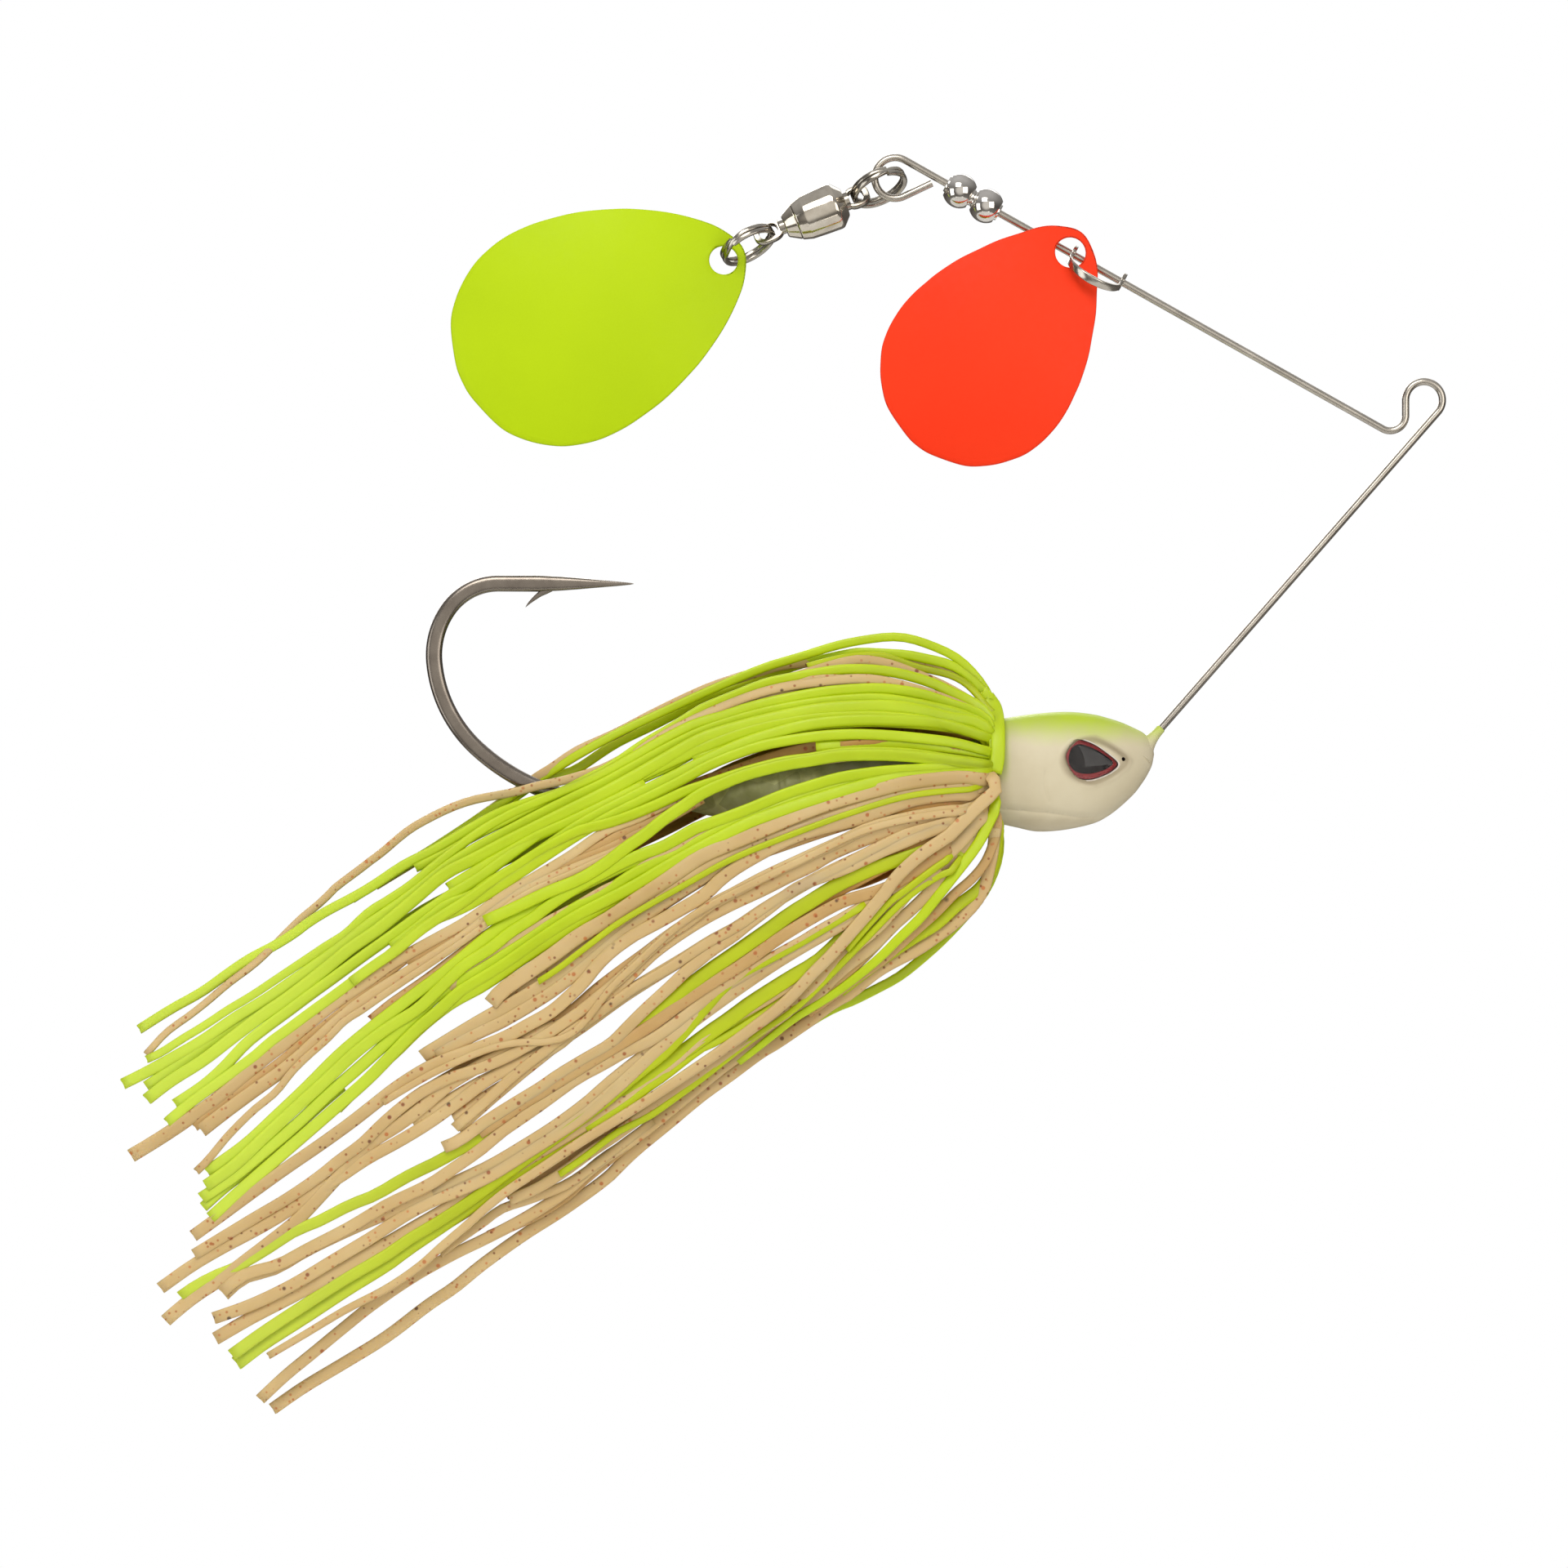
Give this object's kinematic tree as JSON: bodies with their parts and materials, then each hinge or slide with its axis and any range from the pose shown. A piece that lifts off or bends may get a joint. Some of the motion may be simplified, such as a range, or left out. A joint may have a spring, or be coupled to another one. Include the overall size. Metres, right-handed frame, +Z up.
{
  "type": "spinnerbait",
  "caption": "Fishing lure: bent wire frame with a lead head, hook and silicone skirt below, and spinning teardrop blades on the upper arm, one on a clevis, one on a swivel.",
  "frame": {"origin": "centre of the R-bend, where the line is tied", "axes": "+X toward the nose of the lure, +Z up in its swimming attitude, -Y its left side; the wire frame lies in the XZ plane"},
  "size_m": [0.1592, 0.0232, 0.1537],
  "materials": {
    "spring_wire": "drawn stainless spring wire, satin",
    "hook_steel": "black-nickel plated forged steel, satin",
    "painted_lead": "bone paint with a chartreuse back, clear-coated, bare lead at the tail",
    "eye_film": "printed foil, dark pupil with a red rim",
    "eye_dome": "clear domed resin over the foil",
    "band_rubber": "matt rubber",
    "skirt_chartreuse": "translucent silicone, satin",
    "skirt_sand": "silicone with brown and red flake, satin",
    "blade_orange": "powder paint, semi-gloss",
    "blade_chartreuse": "powder paint, semi-gloss",
    "bead_steel": "polished",
    "plated_strip": "folded plated strip, polished",
    "ring_steel": "hardened flat wire, polished",
    "swivel_nickel": "nickel plate, polished"
  },
  "bodies": {
    "frame": {"wire_frame": "spring_wire", "hook": "hook_steel", "head_casting": "painted_lead", "eye_film_left": "eye_film", "eye_film_right": "eye_film", "eye_dome_left": "eye_dome", "eye_dome_right": "eye_dome", "skirt_band": "band_rubber", "skirt_upper_left": "skirt_chartreuse", "skirt_upper_middle_left": "skirt_chartreuse", "skirt_lower_middle_left": "skirt_sand", "skirt_lower_left": "skirt_sand", "skirt_upper_right": "skirt_chartreuse", "skirt_upper_middle_right": "skirt_chartreuse", "skirt_lower_middle_right": "skirt_sand", "skirt_lower_right": "skirt_sand"},
    "beads": {"bead_rear": "bead_steel", "bead_front": "bead_steel"},
    "clevis": {"clevis": "plated_strip"},
    "front_blade": {"front_blade": "blade_orange"},
    "front_ring": {"front_split_ring": "ring_steel"},
    "swivel_front": {"swivel_front_stem": "swivel_nickel"},
    "swivel_barrel": {"swivel_barrel": "swivel_nickel", "swivel_cone_cap": "swivel_nickel", "swivel_bearing_balls": "swivel_nickel", "swivel_thrust_washer": "swivel_nickel", "swivel_rear_stem": "swivel_nickel"},
    "rear_ring": {"rear_split_ring": "ring_steel"},
    "rear_blade": {"rear_blade": "blade_chartreuse"}
  },
  "joints": [
    {"name": "bead_slide", "type": "slide", "parent": "frame", "child": "beads", "axis": [-0.8716, 0, 0.4903], "range_m": [-0.034, 0.001]},
    {"name": "clevis_spin", "type": "hinge", "parent": "beads", "child": "clevis", "pos_m": [-0.04004, 0, 0.01616], "axis": [-0.8716, 0, 0.4903], "continuous": true},
    {"name": "front_blade_swing", "type": "hinge", "parent": "clevis", "child": "front_blade", "pos_m": [-0.04342, -0.0017, 0.01722], "axis": [0, 1, 0], "range_deg": [-25, 40]},
    {"name": "front_ring_swing", "type": "hinge", "parent": "frame", "child": "front_ring", "pos_m": [-0.06375, 0, 0.02742], "axis": [0.1673, 0.9135, -0.3708], "range_deg": [-45, 45]},
    {"name": "swivel_swing", "type": "hinge", "parent": "front_ring", "child": "swivel_front", "pos_m": [-0.06976, 0, 0.02471], "axis": [0.1673, 0.9135, -0.3708], "range_deg": [-45, 40]},
    {"name": "swivel_spin", "type": "hinge", "parent": "swivel_front", "child": "swivel_barrel", "pos_m": [-0.07829, 0, 0.02128], "axis": [0.9278, 0, 0.373], "continuous": true},
    {"name": "rear_ring_swing", "type": "hinge", "parent": "swivel_barrel", "child": "rear_ring", "pos_m": [-0.07991, 0, 0.02063], "axis": [0.1682, 0.9397, -0.2978], "range_deg": [-30, 45]},
    {"name": "rear_blade_swing", "type": "hinge", "parent": "rear_ring", "child": "rear_blade", "pos_m": [-0.08566, 0, 0.01738], "axis": [0.1682, 0.9397, -0.2978], "range_deg": [-50, 40]}
  ]
}
